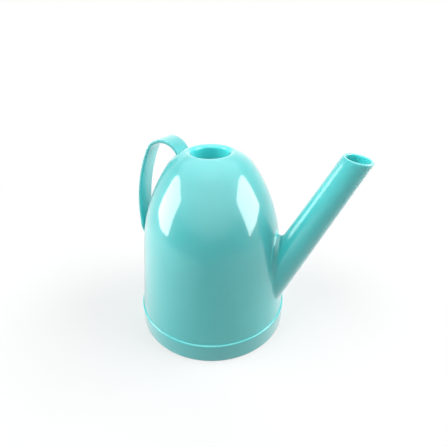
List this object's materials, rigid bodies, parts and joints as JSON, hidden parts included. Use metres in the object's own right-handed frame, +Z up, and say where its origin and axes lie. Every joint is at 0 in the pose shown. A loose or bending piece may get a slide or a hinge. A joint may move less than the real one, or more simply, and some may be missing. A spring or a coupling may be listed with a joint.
{
  "type": "watering can",
  "caption": "Small indoor watering can in glossy aqua plastic: domed body with a round fill mouth on a wider base, straight tapered spout and flat strap handle.",
  "frame": {"origin": "middle of the standing rim under the base, on the body's axis and on the table", "axes": "+Z up along the body's axis and out of the fill mouth, +X towards the spout, -X towards the handle, XZ is the mirror plane"},
  "size_m": [0.2006, 0.1464, 0.1813],
  "materials": {
    "aqua_plastic": "gloss",
    "seal_rubber": "matte"
  },
  "bodies": {
    "root": {"body_shell": "aqua_plastic", "base_pan": "aqua_plastic", "spout": "aqua_plastic", "spout_seal": "seal_rubber", "handle_strap": "aqua_plastic"}
  },
  "joints": []
}
